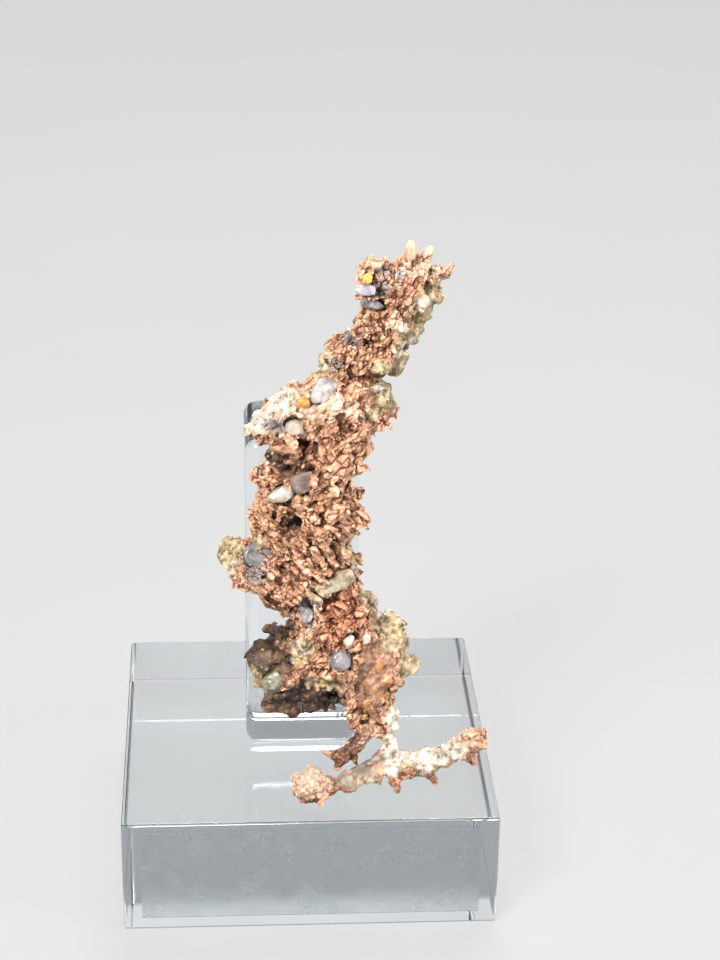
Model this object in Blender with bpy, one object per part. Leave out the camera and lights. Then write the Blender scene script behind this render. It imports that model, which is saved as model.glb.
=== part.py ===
"""Native copper specimen on a clear acrylic stand.

The stand is a square block with an upright post. The copper grew as a branching mass, so it is
split at its main forks. Grains of quartz and amber coloured beads sit in sockets in the copper.
Lengths are in millimetres here and are turned into metres as each mesh is made.
"""
import math
import random

import bmesh
import bpy
from mathutils import Euler, Matrix, Vector, noise

MM = 0.001

# Stand
BASE_SIDE = 40.0
BASE_HEIGHT = 13.15
BASE_EDGE = 0.35
POST_SIDE = 12.1
POST_X = -0.54
POST_FRONT_Y = -4.6
POST_TOP_Z = 50.2
POST_ROUND = 1.5
FILM_WIDTH = 36.0
FILM_HEIGHT = 10.7
FILM_THICKNESS = 0.2
FILM_LOW_Z = 1.6

# Clearance between pieces that touch
GAP = 0.3

# Fineness of the grown forms and how uneven their lumps are
VOXEL = 0.3
LUMP_ROUGHNESS = 0.16
LUMP_FEATURE = 0.42
GRAIN_ROUGHNESS = 0.08

# Line that finds the copper's front face where a grain sits
RAY_START_Y = -40.0
RAY_LENGTH = 80.0

# Side of the cubes that clear the trunk's side of each parting plane
BRANCH_CLEARANCE = 12.0

# Largest number of triangles of each copper piece before its sockets are cut
TRIANGLES = {
    "copper_trunk": 3480,
    "copper_upper_arm": 1300,
    "copper_short_branch": 320,
    "copper_blade": 820,
    "copper_right_arm": 640,
}

# Forks: a point on each parting plane, the direction of the branch beyond it, and how far
# beyond the plane the trunk is cleared
FORKS = {
    "copper_upper_arm": ((5.0, -8.8, 60.2), (0.35, 0.0, 0.94), 30.0),
    "copper_blade": ((8.2, -14.8, 18.2), (-0.7, -0.2, -0.6), 7.0),
    "copper_right_arm": ((9.9, -14.8, 17.6), (1.0, 0.1, 0.0), 6.0),
    "copper_short_branch": ((6.2, -13.3, 20.3), (-0.8, -0.2, -0.6), 3.6),
}

# Lumps: name, centre, half sizes, turn about the Y axis in degrees
TRUNK_LUMPS = (
    ("shoulder", (3.6, -9.0, 56.6), (4.4, 4.0, 3.8), -20),
    ("shoulder_right", (6.0, -8.6, 55.8), (2.2, 3.0, 3.0), 0),
    ("arm_root", (4.2, -8.8, 60.0), (3.4, 3.3, 3.0), 20),
    ("ledge", (-1.2, -9.2, 56.0), (4.4, 3.8, 2.4), -18),
    ("ledge_tip", (-4.7, -9.2, 54.3), (2.1, 2.6, 1.4), -20),
    ("waist_top", (2.5, -9.0, 51.8), (3.4, 3.6, 4.0), 0),
    ("recess", (-1.4, -7.6, 50.4), (1.9, 2.4, 3.2), 0),
    ("waist", (0.8, -9.4, 48.0), (2.6, 3.8, 3.8), 0),
    ("outcrop", (-3.2, -8.8, 47.6), (2.4, 2.8, 2.6), 0),
    ("waist_low", (0.8, -9.4, 44.6), (4.2, 4.0, 3.2), 0),
    ("waist_left", (-3.4, -9.0, 43.8), (2.8, 3.0, 3.2), 0),
    ("knob_right", (4.2, -9.4, 44.8), (1.5, 2.2, 1.7), 0),
    ("waist_foot", (0.6, -9.2, 41.0), (3.9, 3.6, 3.0), 0),
    ("lobe", (-2.2, -9.4, 38.4), (4.8, 4.2, 3.6), 0),
    ("lobe_left", (-6.0, -9.0, 38.7), (2.8, 3.0, 2.4), 12),
    ("lobe_right", (2.6, -9.4, 37.8), (2.9, 3.8, 3.0), 0),
    ("lobe_foot", (-1.6, -9.6, 35.6), (3.6, 3.6, 2.2), 10),
    ("foot_top", (2.0, -9.6, 33.4), (4.4, 4.0, 3.4), 0),
    ("foot", (3.4, -9.8, 28.8), (5.4, 4.4, 4.6), 0),
    ("foot_left", (-1.8, -9.2, 26.2), (3.2, 3.8, 4.6), 18),
    ("foot_right", (7.2, -9.6, 27.4), (3.2, 3.8, 4.2), 20),
    ("foot_low", (-0.6, -9.4, 22.8), (3.2, 3.2, 2.4), 0),
    ("foot_low_right", (6.4, -10.4, 23.4), (3.2, 3.2, 2.4), 0),
    ("neck_stub", (7.3, -12.2, 21.6), (1.4, 1.7, 1.5), 0),
    ("stub_lump", (9.0, -12.3, 21.6), (1.0, 1.2, 1.3), 0),
    ("hub", (8.7, -14.5, 18.8), (1.4, 1.2, 1.4), 0),
)

ARM_LUMPS = (
    ("arm_low", (5.0, -8.9, 61.6), (3.2, 3.0, 2.4), 30),
    ("crust_lobe", (2.8, -8.6, 61.2), (2.4, 2.6, 2.0), 25),
    ("crust_right", (8.4, -8.2, 60.8), (1.7, 2.4, 2.4), 15),
    ("arm_middle", (7.4, -8.5, 64.4), (3.0, 2.9, 3.0), 30),
    ("head", (8.8, -8.5, 68.6), (3.3, 3.0, 3.0), 0),
    ("head_low", (8.4, -8.4, 66.0), (3.3, 2.9, 2.6), 0),
    ("head_crust", (11.5, -7.8, 66.8), (1.3, 2.4, 2.4), 10),
    ("crust_middle", (10.4, -7.8, 64.2), (1.3, 2.2, 1.9), 20),
    ("head_left", (6.6, -8.8, 69.2), (1.9, 2.3, 2.3), 0),
    ("horn", (6.1, -8.6, 71.4), (0.9, 1.1, 1.1), 0),
    ("beak", (13.2, -8.5, 70.2), (1.0, 1.1, 0.9), 0),
)

BLADE_LUMPS = (
    ("knob", (0.3, -17.0, 15.7), (1.8, 1.7, 1.9), 0),
    ("knob_cup", (-0.8, -17.0, 15.8), (1.1, 1.4, 1.5), 0),
    ("hub_end", (8.4, -15.0, 17.9), (1.2, 1.1, 1.2), 0),
)

RIGHT_ARM_LUMPS = (
    ("arm_start", (10.6, -15.0, 16.9), (1.9, 1.3, 1.6), 0),
    ("arm_one", (12.6, -14.5, 17.0), (1.5, 1.2, 1.5), 0),
    ("arm_two", (14.4, -14.0, 17.5), (1.4, 1.1, 1.4), 0),
    ("arm_three", (16.0, -13.6, 18.1), (1.3, 1.0, 1.2), 0),
    ("arm_four", (17.6, -13.2, 18.8), (1.2, 0.9, 1.3), 0),
)

SHORT_LUMPS = (
    ("short_root", (6.4, -13.4, 20.6), (1.2, 1.1, 1.1), 0),
    ("short_middle", (4.7, -13.9, 18.7), (0.9, 0.8, 1.0), 0),
)

# Spikes: start, end, radius at the start, radius at the end
TRUNK_SPIKES = (
    ((-5.0, -9.2, 54.4), (-6.3, -9.2, 54.2), 1.3, 0.6),
    ((-6.2, -9.0, 38.6), (-8.4, -8.8, 38.3), 1.9, 0.9),
    ((-3.2, -9.0, 26.8), (-6.4, -8.8, 26.2), 2.9, 0.8),
    ((-3.4, -9.6, 48.0), (-5.2, -9.6, 47.8), 1.2, 0.4),
    ((-0.8, -9.6, 22.6), (-1.0, -9.4, 20.9), 2.0, 1.0),
    ((8.6, -9.2, 26.4), (10.4, -9.0, 24.8), 2.0, 0.9),
    ((8.8, -14.4, 19.4), (9.5, -14.5, 20.5), 0.7, 0.3),
    ((7.8, -12.7, 21.0), (8.5, -14.3, 19.4), 1.1, 1.0),
    ((8.8, -14.5, 18.4), (11.4, -14.9, 17.2), 1.4, 1.3),
    ((8.8, -14.6, 18.6), (6.8, -15.2, 17.3), 1.0, 1.0),
    ((7.2, -13.0, 21.2), (5.4, -13.6, 19.6), 1.0, 0.9),
)

ARM_SPIKES = (
    ((9.8, -8.5, 70.6), (10.0, -8.5, 72.9), 1.1, 0.55),
    ((10.8, -8.5, 70.6), (11.9, -8.5, 72.2), 1.0, 0.45),
    ((11.0, -8.5, 69.6), (13.7, -8.5, 70.1), 1.4, 0.75),
    ((3.4, -8.6, 61.4), (1.2, -8.5, 61.0), 1.8, 1.0),
)

SHORT_SPIKES = (
    ((6.2, -13.5, 20.3), (2.8, -14.5, 16.4), 1.0, 0.45),
    ((3.6, -14.1, 17.7), (1.1, -13.2, 17.7), 0.6, 0.35),
    ((4.6, -14.0, 18.2), (5.0, -14.6, 16.8), 0.6, 0.35),
)

RIGHT_ARM_SPIKES = (
    ((17.6, -13.2, 18.5), (18.9, -12.7, 19.6), 0.8, 0.45),
    ((12.6, -14.5, 16.6), (13.6, -14.8, 14.2), 0.6, 0.35),
    ((16.8, -13.2, 17.4), (18.3, -13.0, 15.4), 0.6, 0.35),
    ((10.6, -14.8, 17.4), (17.8, -13.2, 18.4), 0.9, 0.8),
)

# The blade's flat lath, its row of knobs and its hanging twig
BLADE_START = (9.2, -14.9, 18.4)
BLADE_END = (1.2, -16.7, 15.6)
BLADE_WIDTH = 1.9
BLADE_THICKNESS = 1.1
RIM_START = (9.6, -15.4, 16.7)
RIM_END = (2.2, -17.0, 14.9)
RIM_KNOBS = 9
RIM_RADIUS = 0.7
BLADE_SPIKES = (
    ((8.8, -15.6, 16.4), (9.4, -16.0, 14.0), 0.8, 0.4),
)

# Small flat faced crystals grown over each copper piece: how many and how large
CRYSTALS = {
    "copper_trunk": (210, 1.3, 2.7),
    "copper_upper_arm": (70, 1.0, 2.0),
    "copper_short_branch": (12, 0.5, 0.9),
    "copper_blade": (34, 0.6, 1.1),
    "copper_right_arm": (34, 0.6, 1.2),
}

# Long laths of copper laid over the surface: start, end, width, thickness
TRUNK_LATHS = (
    ((-7.4, -11.4, 41.0), (-1.2, -13.2, 36.6), 1.1, 1.4),
    ((-5.8, -11.6, 42.4), (1.4, -13.4, 38.6), 1.0, 1.4),
    ((-3.6, -12.6, 45.6), (1.8, -13.4, 41.6), 1.0, 1.4),
    ((4.4, -12.8, 59.0), (-2.6, -12.8, 54.2), 1.1, 1.4),
    ((0.6, -13.2, 35.6), (6.4, -13.4, 31.0), 1.2, 1.4),
    ((-4.0, -12.6, 24.8), (1.2, -13.4, 29.6), 1.1, 1.4),
)

# Pits: centre, half sizes
TRUNK_PITS = (
    ((-2.4, -13.0, 44.2), (1.9, 2.6, 1.5)),
    ((-4.3, -11.4, 50.7), (2.3, 5.0, 2.1)),
    ((6.4, -9.0, 48.2), (2.9, 6.0, 1.6)),
    ((1.4, -14.0, 53.2), (1.3, 1.8, 1.0)),
    ((-5.2, -11.8, 32.0), (2.2, 4.0, 2.2)),
    ((3.0, -14.4, 26.2), (1.2, 1.6, 0.9)),
)

# Grains: name, place across and up, half sizes, turn about the Y axis, share that is sunk, host
GRAINS = (
    ("quartz_pebble_ledge", (-1.6, 55.4), (1.0, 0.9, 0.8), 25, 0.45, "copper_trunk"),
    ("quartz_pebble_shoulder", (1.1, 58.8), (1.2, 1.0, 1.5), 35, 0.5, "copper_trunk"),
    ("quartz_pebble_waist", (-3.0, 47.5), (1.35, 1.0, 0.85), -12, 0.45, "copper_trunk"),
    ("quartz_clear_recess", (-0.6, 48.9), (1.3, 1.0, 1.3), 0, 0.5, "copper_trunk"),
    ("quartz_patch_lobe", (-5.6, 40.4), (1.7, 0.9, 1.3), -30, 0.55, "copper_trunk"),
    ("quartz_band", (2.8, 37.8), (2.5, 1.2, 1.0), -20, 0.5, "copper_trunk"),
    ("quartz_pebble_violet", (3.2, 29.2), (1.3, 1.1, 0.9), -15, 0.5, "copper_trunk"),
    ("quartz_pebble_green", (-3.6, 26.0), (1.2, 1.1, 1.5), 20, 0.5, "copper_trunk"),
    ("quartz_prism_foot", (-0.3, 34.4), (0.55, 0.6, 1.0), 12, 0.4, "copper_trunk"),
    ("quartz_grain_white_left", (4.1, 31.1), (0.6, 0.55, 0.85), 25, 0.4, "copper_trunk"),
    ("quartz_grain_white_right", (5.9, 31.6), (0.45, 0.45, 0.7), 0, 0.4, "copper_trunk"),
    ("quartz_grain_white_small", (-0.1, 32.5), (0.4, 0.4, 0.4), 0, 0.4, "copper_trunk"),
    ("amber_bead_ledge", (-0.7, 57.7), (0.75, 0.7, 0.75), 0, 0.3, "copper_trunk"),
    ("amber_bead_head", (5.5, 70.6), (0.6, 0.6, 0.6), 0, 0.2, "copper_upper_arm"),
    ("quartz_lath_head_upper", (5.3, 69.5), (1.3, 0.7, 0.55), 4, 0.3, "copper_upper_arm"),
    ("quartz_lath_head_lower", (6.0, 67.9), (1.3, 0.7, 0.5), 14, 0.3, "copper_upper_arm"),
)

GRAIN_COLOURS = {
    "quartz": ((0.72, 0.70, 0.66, 1.0), 0.35),
    "amber": ((0.75, 0.30, 0.06, 1.0), 0.25),
}


def clear_scene():
    for obj in list(bpy.data.objects):
        bpy.data.objects.remove(obj, do_unlink=True)


def make_material(name, colour, roughness, metallic=0.0, transmission=0.0):
    material = bpy.data.materials.new(name)
    material.use_nodes = True
    shader = material.node_tree.nodes["Principled BSDF"]
    shader.inputs["Base Color"].default_value = colour
    shader.inputs["Roughness"].default_value = roughness
    shader.inputs["Metallic"].default_value = metallic
    shader.inputs["Transmission Weight"].default_value = transmission
    return material


def make_object(name, bm, material=None):
    """Turn a bmesh in millimetres into an object in metres."""
    bmesh.ops.scale(bm, vec=(MM, MM, MM), verts=bm.verts)
    bmesh.ops.recalc_face_normals(bm, faces=bm.faces)
    mesh = bpy.data.meshes.new(name)
    bm.to_mesh(mesh)
    bm.free()
    obj = bpy.data.objects.new(name, mesh)
    bpy.context.scene.collection.objects.link(obj)
    if material:
        mesh.materials.append(material)
    return obj


def make_cutter(name, bm):
    cutter = make_object(name, bm)
    cutter.hide_render = True
    cutter.display_type = "WIRE"
    return cutter


def frame_matrix(centre, turn_y=0.0, turn=None):
    rotation = turn if turn else Euler((0.0, math.radians(turn_y), 0.0))
    return Matrix.Translation(Vector(centre)) @ rotation.to_matrix().to_4x4()


def add_lump(bm, centre, half, turn_y=0.0, seed=0, detail=3, roughness=LUMP_ROUGHNESS):
    """A closed stone like lump: a ball whose points move in and out."""
    ball = bmesh.ops.create_icosphere(bm, subdivisions=detail, radius=1.0)
    offset = Vector((seed * 3.7, seed * 1.3, seed * 2.1))
    place = frame_matrix(centre, turn_y)
    size = sum(half) / 3.0
    for vert in ball["verts"]:
        push = noise.noise(vert.co * size * LUMP_FEATURE + offset)
        swell = 1.0 + roughness * 2.0 * push
        local = Vector((vert.co.x * half[0], vert.co.y * half[1], vert.co.z * half[2]))
        vert.co = place @ (local * swell)


def add_box(bm, low, high):
    centre = [(a + b) / 2.0 for a, b in zip(low, high)]
    size = [b - a for a, b in zip(low, high)]
    box = bmesh.ops.create_cube(bm, size=1.0)
    for vert in box["verts"]:
        vert.co = Vector([c + v * s for c, v, s in zip(centre, vert.co, size)])
    return box["verts"]


def along(start, end):
    """The middle of two points, their distance and the turn from +Z to that line."""
    line = Vector(end) - Vector(start)
    middle = (Vector(end) + Vector(start)) / 2.0
    return middle, line.length, line.to_track_quat("Z", "Y")


def add_spike(bm, start, end, radius_start, radius_end, sides=6):
    middle, length, turn = along(start, end)
    spike = bmesh.ops.create_cone(
        bm, cap_ends=True, segments=sides,
        radius1=radius_start, radius2=radius_end, depth=length,
    )
    place = Matrix.Translation(middle) @ turn.to_matrix().to_4x4()
    bmesh.ops.transform(bm, matrix=place, verts=spike["verts"])
    add_crystal(bm, end, radius_end * 1.25, turn)


def add_lath(bm, start, end, width, thickness):
    """A flat bar of copper with bevelled long edges."""
    middle, length, turn = along(start, end)
    bar = bmesh.ops.create_cone(
        bm, cap_ends=True, segments=6, radius1=1.0, radius2=0.7, depth=length,
    )
    place = Matrix.Translation(middle) @ turn.to_matrix().to_4x4()
    for vert in bar["verts"]:
        local = Vector((vert.co.x * thickness / 2.0, vert.co.y * width / 2.0, vert.co.z))
        vert.co = place @ local


def add_crystal(bm, centre, size, turn):
    """An eight sided crystal with cut off corners."""
    crystal = bmesh.ops.create_icosphere(bm, subdivisions=1, radius=1.0)
    place = frame_matrix(centre, turn=turn)
    for vert in crystal["verts"]:
        octahedral = abs(vert.co.x) + abs(vert.co.y) + abs(vert.co.z)
        vert.co = place @ (vert.co * size * 1.35 / octahedral)


def add_cube_crystal(bm, centre, size, turn):
    cube = bmesh.ops.create_cube(bm, size=size * 1.45)
    place = frame_matrix(centre, turn=turn)
    bmesh.ops.transform(bm, matrix=place, verts=cube["verts"])


def scatter_crystals(bm, lumps, count, smallest, largest, rng):
    """Grow flat faced crystals out of the lumps, away from the post behind them."""
    weights = [half[0] * half[2] for _, _, half, _ in lumps]
    for index in range(count):
        _, centre, half, turn_y = rng.choices(lumps, weights=weights)[0]
        direction = Vector((rng.gauss(0, 1), rng.gauss(-0.5, 0.8), rng.gauss(0, 1))).normalized()
        local = Vector([d * h * 0.98 for d, h in zip(direction, half)])
        point = frame_matrix(centre, turn_y) @ local
        size = smallest + (largest - smallest) * rng.random() ** 2
        turn = Euler([rng.uniform(0, math.tau) for _ in range(3)])
        if index % 3 == 0:
            add_cube_crystal(bm, point, size * 0.6, turn)
        else:
            add_crystal(bm, point, size * 0.75, turn)


def evaluated_mesh(obj):
    graph = bpy.context.evaluated_depsgraph_get()
    graph.update()
    return bpy.data.meshes.new_from_object(obj.evaluated_get(graph))


def bake_modifiers(obj):
    """Keep the shape that the modifiers give, without bits that a cut has set free."""
    mesh = evaluated_mesh(obj)
    obj.modifiers.clear()
    old = obj.data
    obj.data = mesh
    bpy.data.meshes.remove(old)
    bm = bmesh.new()
    bm.from_mesh(mesh)
    islands = mesh_islands(bm)
    islands.sort(key=len)
    loose = [vert for island in islands[:-1] for vert in island]
    bmesh.ops.delete(bm, geom=loose, context="VERTS")
    bmesh.ops.triangulate(bm, faces=bm.faces)
    bm.to_mesh(mesh)
    bm.free()


def mesh_islands(bm):
    seen = set()
    islands = []
    for first in bm.verts:
        if first in seen:
            continue
        seen.add(first)
        island = [first]
        for vert in island:
            for edge in vert.link_edges:
                other = edge.other_vert(vert)
                if other not in seen:
                    seen.add(other)
                    island.append(other)
        islands.append(island)
    return islands


def skin_over(obj, voxel, triangles):
    """Join the overlapping shapes of a mesh in one skin of few facets."""
    remesh = obj.modifiers.new("skin", "REMESH")
    remesh.mode = "VOXEL"
    remesh.voxel_size = voxel * MM
    remesh.adaptivity = 0.0
    bake_modifiers(obj)
    count = len(obj.data.polygons)
    decimate = obj.modifiers.new("facets", "DECIMATE")
    decimate.ratio = min(1.0, triangles / count)
    decimate.use_collapse_triangulate = True
    bake_modifiers(obj)


def cut(obj, cutter):
    boolean = obj.modifiers.new("cut " + cutter.name, "BOOLEAN")
    boolean.operation = "DIFFERENCE"
    boolean.solver = "EXACT"
    boolean.object = cutter


def half_space(name, point, direction, side, reach):
    """A cube that clears one side of a parting plane and half a gap beyond it."""
    normal = Vector(direction).normalized() * side
    centre = Vector(point) + normal * (reach - GAP) / 2.0
    bm = bmesh.new()
    cube = bmesh.ops.create_cube(bm, size=reach)
    place = Matrix.Translation(centre) @ normal.to_track_quat("Z", "Y").to_matrix().to_4x4()
    bmesh.ops.transform(bm, matrix=place, verts=cube["verts"])
    return make_cutter(name, bm)


def post_clearance():
    """The post's body with the gap round it."""
    bm = bmesh.new()
    add_box(
        bm,
        (POST_X - POST_SIDE / 2 - GAP, POST_FRONT_Y - GAP, BASE_HEIGHT - 1.0),
        (POST_X + POST_SIDE / 2 + GAP, POST_FRONT_Y + POST_SIDE + GAP, POST_TOP_Z + GAP),
    )
    return make_cutter("post_clearance", bm)


def base_clearance():
    """A slab that holds the block's top and the gap above it."""
    bm = bmesh.new()
    add_box(bm, (-30.0, -30.0, BASE_HEIGHT - 8.0), (30.0, 30.0, BASE_HEIGHT + GAP))
    return make_cutter("base_clearance", bm)


def pits_cutter(pits):
    bm = bmesh.new()
    for index, (centre, half) in enumerate(pits):
        add_lump(bm, centre, half, seed=40 + index, detail=2)
    return make_cutter("pits", bm)


def build_copper(name, lumps, spikes, laths, material, seed):
    """One grown copper piece: lumps, spikes, laths and crystals under one faceted skin."""
    bm = bmesh.new()
    rng = random.Random(seed)
    for index, (_, centre, half, turn_y) in enumerate(lumps):
        add_lump(bm, centre, half, turn_y, seed=seed * 50 + index)
    for start, end, radius_start, radius_end in spikes:
        add_spike(bm, start, end, radius_start, radius_end)
    for start, end, width, thickness in laths:
        add_lath(bm, start, end, width, thickness)
    count, smallest, largest = CRYSTALS[name]
    scatter_crystals(bm, lumps, count, smallest, largest, rng)
    obj = make_object(name, bm, material)
    skin_over(obj, VOXEL, TRIANGLES[name])
    return obj


def rim_lumps():
    """The row of knobs that hangs from the blade's lower edge."""
    start, end = Vector(RIM_START), Vector(RIM_END)
    knobs = []
    for index in range(RIM_KNOBS):
        point = start.lerp(end, index / (RIM_KNOBS - 1))
        radius = RIM_RADIUS * (0.85 + 0.3 * math.sin(index * 2.4))
        knobs.append(("rim", tuple(point), (radius, radius * 0.9, radius), 0))
    return tuple(knobs)


def build_base(material):
    bm = bmesh.new()
    half = BASE_SIDE / 2
    add_box(bm, (-half, -half, 0.0), (half, half, BASE_HEIGHT))
    base = make_object("base_block", bm, material)
    bevel = base.modifiers.new("polished edges", "BEVEL")
    bevel.width = BASE_EDGE * MM
    bevel.segments = 2
    bevel.limit_method = "ANGLE"
    return base


def build_post(material):
    """A square post with its upright and top edges rounded and a flat sawn foot."""
    bm = bmesh.new()
    half = POST_SIDE / 2
    low = BASE_HEIGHT + GAP
    add_box(
        bm,
        (POST_X - half, POST_FRONT_Y, low),
        (POST_X + half, POST_FRONT_Y + POST_SIDE, POST_TOP_Z),
    )
    free = [e for e in bm.edges if any(v.co.z > POST_TOP_Z - 0.1 for v in e.verts)]
    bmesh.ops.bevel(bm, geom=free, offset=POST_ROUND, segments=4, profile=0.5, affect="EDGES")
    return make_object("upright_post", bm, material)


def build_film(material):
    bm = bmesh.new()
    front = -BASE_SIDE / 2 - GAP
    add_box(
        bm,
        (-FILM_WIDTH / 2, front - FILM_THICKNESS, FILM_LOW_Z),
        (FILM_WIDTH / 2, front, FILM_LOW_Z + FILM_HEIGHT),
    )
    return make_object("label_film", bm, material)


def surface_depth(obj, x, z):
    """How far back a line from the front meets a piece at this place."""
    start = Vector((x, RAY_START_Y, z)) * MM
    hit, point, _, _ = obj.ray_cast(start, Vector((0.0, 1.0, 0.0)), distance=RAY_LENGTH * MM)
    if not hit:
        raise ValueError(f"no surface of {obj.name} at {x}, {z}")
    return point.y / MM


def build_grain(name, place, half, turn_y, sunk, host, seed):
    """A grain that sits partly sunk in its host, and the socket that holds it."""
    kind = name.split("_")[0]
    x, z = place
    y = surface_depth(host, x, z) + half[1] * (2.0 * sunk - 1.0)
    centre = (x, y, z)
    colour, roughness = GRAIN_COLOURS[kind]
    detail = 2 if max(half) > 0.8 else 1
    bm = bmesh.new()
    add_lump(bm, centre, half, turn_y, seed, detail, GRAIN_ROUGHNESS)
    make_object(name, bm, make_material(name, colour, roughness))
    bm = bmesh.new()
    wide = [size + GAP * 1.3 for size in half]
    add_lump(bm, centre, wide, turn_y, seed, detail, GRAIN_ROUGHNESS)
    return make_cutter("socket " + name, bm)


def build_specimen(copper):
    hosts = {
        "copper_trunk": build_copper(
            "copper_trunk", TRUNK_LUMPS, TRUNK_SPIKES, TRUNK_LATHS, copper, 1),
        "copper_upper_arm": build_copper(
            "copper_upper_arm", ARM_LUMPS, ARM_SPIKES, (), copper, 2),
        "copper_short_branch": build_copper(
            "copper_short_branch", SHORT_LUMPS, SHORT_SPIKES, (), copper, 3),
        "copper_blade": build_copper(
            "copper_blade", BLADE_LUMPS + rim_lumps(), BLADE_SPIKES,
            ((BLADE_START, BLADE_END, BLADE_WIDTH, BLADE_THICKNESS),), copper, 4),
        "copper_right_arm": build_copper(
            "copper_right_arm", RIGHT_ARM_LUMPS, RIGHT_ARM_SPIKES, (), copper, 5),
    }
    trunk = hosts["copper_trunk"]
    cut(trunk, pits_cutter(TRUNK_PITS))
    bake_modifiers(trunk)
    sockets = {name: [] for name in hosts}
    for seed, (name, place, half, turn_y, sunk, host) in enumerate(GRAINS):
        socket = build_grain(name, place, half, turn_y, sunk, hosts[host], 80 + seed)
        sockets[host].append(socket)
    for branch, (point, direction, reach) in FORKS.items():
        cut(hosts["copper_trunk"], half_space("beyond " + branch, point, direction, 1, reach))
        cut(hosts[branch], half_space(
            "before " + branch, point, direction, -1, BRANCH_CLEARANCE))
    post = post_clearance()
    base = base_clearance()
    for name, obj in hosts.items():
        cut(obj, post)
        cut(obj, base)
        for socket in sockets[name]:
            cut(obj, socket)
        bake_modifiers(obj)


def main():
    clear_scene()
    clear = (0.93, 0.95, 0.96, 1.0)
    acrylic = make_material("clear_acrylic", clear, 0.05, transmission=1.0)
    film = make_material("clear_film", (0.90, 0.91, 0.90, 1.0), 0.3, transmission=0.8)
    copper = make_material("native_copper", (0.62, 0.38, 0.28, 1.0), 0.5, metallic=0.7)
    build_base(acrylic)
    build_post(acrylic)
    build_film(film)
    build_specimen(copper)


main()
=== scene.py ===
import math

import bmesh
import bpy
import numpy as np
from mathutils import Matrix, Vector


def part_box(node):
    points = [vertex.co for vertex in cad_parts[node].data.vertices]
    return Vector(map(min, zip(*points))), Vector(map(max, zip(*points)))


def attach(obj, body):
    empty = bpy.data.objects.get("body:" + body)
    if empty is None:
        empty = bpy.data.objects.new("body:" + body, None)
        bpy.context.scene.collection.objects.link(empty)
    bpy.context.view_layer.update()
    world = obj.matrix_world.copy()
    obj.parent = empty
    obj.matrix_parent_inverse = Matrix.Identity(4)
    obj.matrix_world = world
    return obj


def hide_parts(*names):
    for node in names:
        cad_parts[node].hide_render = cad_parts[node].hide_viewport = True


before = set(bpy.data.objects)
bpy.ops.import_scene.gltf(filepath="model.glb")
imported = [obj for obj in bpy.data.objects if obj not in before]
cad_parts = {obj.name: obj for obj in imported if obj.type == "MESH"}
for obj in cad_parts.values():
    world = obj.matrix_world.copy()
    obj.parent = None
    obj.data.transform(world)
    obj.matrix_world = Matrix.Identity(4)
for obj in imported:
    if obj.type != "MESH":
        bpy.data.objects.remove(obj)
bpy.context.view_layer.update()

# Lengths below are in millimetres unless a name says otherwise
MM = 0.001

# The photograph's camera: place, angles in degrees, and focal length in the photo's pixels
CAMERA_PLACE = (-9.24, -234.76, 153.03)
CAMERA_YAW, CAMERA_PITCH, CAMERA_ROLL = 3.67, 24.97, 0.91
FOCAL_PIXELS = 2414.1
IMAGE_HEIGHT = 960.0
SENSOR_HEIGHT = 36.0

GRAIN_NODES = tuple(sorted(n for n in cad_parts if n.startswith(("quartz", "amber"))))

# The low and high corners of the block and the post
base_low, base_high = (np.array(v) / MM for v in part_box("base_block"))
post_low, post_high = (np.array(v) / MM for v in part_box("upright_post"))

# Fineness of the grown surface, first for its large crystals and then for the rest
FIRST_VOXEL = 0.26
SKIN_VOXEL = 0.145

# Heights where the copper is parted in pieces: foot, lobe, waist and arm from below upwards
SEAMS = (34.0, 46.0)
NECK = 60.1
TOP = 99.0

# How far the copper's solids are drawn in before crystals grow on them
DRAWN_IN = {
    "copper_trunk": 0.4,
    "copper_upper_arm": 0.35,
    "copper_short_branch": 0.12,
    "copper_blade": 0.12,
    "copper_right_arm": 0.12,
}

# How near the copper comes to the post and the block
STAND_GAP = 0.3

# How uneven crystals are: the spread of their proportions, their corners and their turn, and
# how much the small ones outnumber the large
PROPORTIONS = (0.75, 1.25)
CORNER_SPREAD = 0.05
TURN_SPREAD = 0.35
SMALL_BIAS = 1.6

# How far a look's border frays, how steep the relief's facets are, and how wide its crevices
FRAY = 0.42
FACET_TILT = 1.4
CREVICE_WIDTH = 0.28

# Heights of the relief: large and small facets, the crevices round them, grit and crust
LARGE_FACETS, LARGE_CREVICES = 0.28, 0.14
SMALL_FACETS, SMALL_CREVICES = 0.09, 0.06
GRIT, CRUST_LUMPS = 0.02, 0.14

# How deep a hollow gets its full painted shade, close by and over a wider stretch, and how far
# out a point counts as an edge with painted highlight
NEAR_HOLLOW, WIDE_HOLLOW, EDGE_RISE = 0.14, 0.42, 0.16

# The way that the flat side of a listed crystal faces: forwards and slightly up
FACING = (0.0, -0.94, 0.34)

# A grain's size as a fill behind it, as its own piece, and as a place bare of crystals, each
# against its solid
FILL_SIZE = 0.62
GRAIN_SIZE = 1.10
BARE_SIZE = 0.86
GRAIN_VOXEL = 0.09

# Solid places that bridge the gaps at the forks: centre, half sizes
BRIDGES = (
    ((5.0, -8.8, 60.2), (2.7, 2.4, 1.0)),
    ((8.2, -14.8, 18.2), (0.8, 0.8, 0.8)),
    ((9.9, -14.8, 17.5), (1.0, 0.9, 1.0)),
    ((6.2, -13.3, 20.3), (0.6, 0.6, 0.6)),
)
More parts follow.
